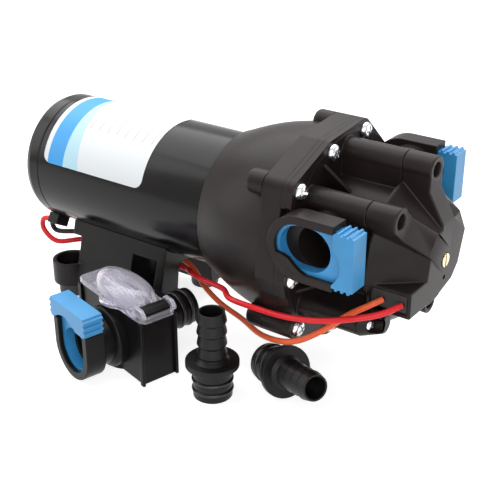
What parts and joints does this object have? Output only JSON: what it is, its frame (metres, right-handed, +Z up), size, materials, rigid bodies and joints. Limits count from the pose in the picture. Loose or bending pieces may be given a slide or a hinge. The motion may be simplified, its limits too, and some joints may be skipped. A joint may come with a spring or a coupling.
{
  "type": "caravan water pump",
  "caption": "Electric diaphragm water pump: can motor on a footed cradle, finned head with side ports and clips, pressure switch, leads, clear-lidded strainer and hose tails.",
  "frame": {"origin": "centre of the four mounting holes, on the floor", "axes": "+X from the motor to the head, +Y to the outlet, +Z up"},
  "size_m": [0.2523, 0.1595, 0.1291],
  "materials": {
    "black_plastic": "satin moulded",
    "black_paint": "gloss",
    "black_rubber": "matte",
    "blue_plastic": "satin",
    "steel": "zinc plated",
    "copper": "enamelled",
    "brass": "turned",
    "carbon": "sintered",
    "pale_plastic": "moulded",
    "brown_plastic": "moulded",
    "label_white": "printed film",
    "red_pvc": "extruded",
    "orange_pvc": "extruded",
    "black_pvc": "extruded",
    "clear_plastic": "clear moulded"
  },
  "bodies": {
    "pump": {"motor_can": "black_paint", "motor_end_cap": "black_paint", "rating_label": "label_white", "motor_front_plate": "steel", "rear_bush": "brass", "front_bearing": "steel", "magnets": "carbon", "brush_holder": "brown_plastic", "brushes": "carbon", "base_cradle": "black_plastic", "rubber_feet": "black_rubber", "cradle_screws": "steel", "cable_clip": "black_plastic", "bell_housing": "black_plastic", "flange_band": "black_plastic", "diaphragm": "black_rubber", "pump_head": "black_plastic", "flange_screws": "steel", "valve_plate": "pale_plastic", "inlet_valves": "black_rubber", "outlet_valve": "black_rubber", "switch_cover": "black_plastic", "cover_screws": "steel", "switch_diaphragm": "black_rubber", "switch_spring": "steel", "microswitch": "brown_plastic", "wire_gland": "black_rubber", "red_lead": "red_pvc", "orange_lead": "orange_pvc", "black_lead": "black_pvc"},
    "rotor": {"motor_shaft": "steel", "armature_core": "steel", "armature_windings": "copper", "commutator": "copper", "drive_cam": "steel", "cam_bearing": "steel"},
    "wobble_plate": {"wobble_plate": "pale_plastic"},
    "inlet_clip": {"inlet_clip": "blue_plastic"},
    "outlet_clip": {"outlet_clip": "blue_plastic"},
    "switch_plunger": {"switch_plunger": "pale_plastic"},
    "adjusting_screw": {"adjusting_screw": "brass"},
    "strainer": {"strainer_body": "black_plastic", "strainer_lid_seal": "black_rubber", "strainer_screen": "steel", "strainer_o_rings": "black_rubber"},
    "strainer_lid": {"strainer_lid": "clear_plastic", "strainer_lid_catch": "black_plastic"},
    "strainer_clip": {"strainer_clip": "blue_plastic"},
    "standing_tail": {"standing_tail": "black_plastic", "standing_tail_o_rings": "black_rubber"},
    "lying_tail": {"lying_tail": "black_plastic", "lying_tail_o_rings": "black_rubber"}
  },
  "joints": [
    {"name": "rotor_spin", "type": "hinge", "parent": "pump", "child": "rotor", "pos_m": [0, 0, 0.074], "axis": [1, 0, 0], "continuous": true},
    {"name": "wobble_tilt", "type": "hinge", "parent": "pump", "child": "wobble_plate", "pos_m": [0.106, 0, 0.074], "axis": [0, 1, 0], "range_deg": [-3, 3], "stiffness_Nm_per_rad": 1, "deforming": ["diaphragm"]},
    {"name": "inlet_clip_slide", "type": "slide", "parent": "pump", "child": "inlet_clip", "axis": [1, 0, 0], "range_m": [0, 0.008]},
    {"name": "outlet_clip_slide", "type": "slide", "parent": "pump", "child": "outlet_clip", "axis": [1, 0, 0], "range_m": [0, 0.008]},
    {"name": "plunger_travel", "type": "slide", "parent": "pump", "child": "switch_plunger", "axis": [1, 0, 0], "range_m": [0, 0.0012], "stiffness_N_per_m": 200, "deforming": ["switch_spring"]},
    {"name": "adjuster_turn", "type": "hinge", "parent": "pump", "child": "adjusting_screw", "pos_m": [0.19, 0, 0.074], "axis": [1, 0, 0], "range_deg": [-180, 180]},
    {"name": "strainer_draw", "type": "slide", "parent": "pump", "child": "strainer", "axis": [-0.2639, -0.9646, 0], "range_m": [0, 0.1]},
    {"name": "strainer_lid_lift", "type": "slide", "parent": "strainer", "child": "strainer_lid", "axis": [0, 0, 1], "range_m": [0, 0.04]},
    {"name": "strainer_clip_lift", "type": "slide", "parent": "strainer", "child": "strainer_clip", "axis": [0, 0, 1], "range_m": [0, 0.008]},
    {"name": "standing_tail_lift", "type": "slide", "parent": "pump", "child": "standing_tail", "axis": [0, 0, 1], "range_m": [0, 0.08]},
    {"name": "lying_tail_draw", "type": "slide", "parent": "pump", "child": "lying_tail", "axis": [0.6, -0.8, 0], "range_m": [0, 0.1]}
  ]
}
